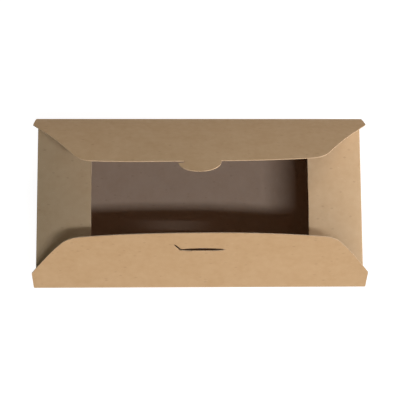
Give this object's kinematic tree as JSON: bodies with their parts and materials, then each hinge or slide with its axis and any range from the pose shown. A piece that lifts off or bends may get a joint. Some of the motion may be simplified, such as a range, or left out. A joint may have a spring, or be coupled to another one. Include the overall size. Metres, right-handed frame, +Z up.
{
  "type": "takeaway box",
  "caption": "Folded kraft board takeaway box: tapered tray with end flaps bent over the mouth, a long flap with a tongue and a long flap with a slit",
  "frame": {"origin": "middle of the underside, on the surface that the box stands on", "axes": "+X along the box, which is its longest extent; +Y to the rear, from the slit flap to the tongue flap, which is its shortest extent; +Z up"},
  "size_m": [0.2048, 0.1058, 0.1438],
  "materials": {
    "kraft_board": "uncoated brown kraft board, matt, with fine fibres"
  },
  "bodies": {
    "tray": {"box_tray": "kraft_board"},
    "rear_lid": {"rear_flap": "kraft_board"},
    "front_lid": {"front_flap": "kraft_board"}
  },
  "joints": [
    {"name": "rear_flap_fold", "type": "hinge", "parent": "tray", "child": "rear_lid", "pos_m": [0, 0.05275, 0.077], "axis": [-1, 0, 0], "range_deg": [-30, 125]},
    {"name": "front_flap_fold", "type": "hinge", "parent": "tray", "child": "front_lid", "pos_m": [0, -0.05275, 0.077], "axis": [1, 0, 0], "range_deg": [-26, 145]}
  ]
}
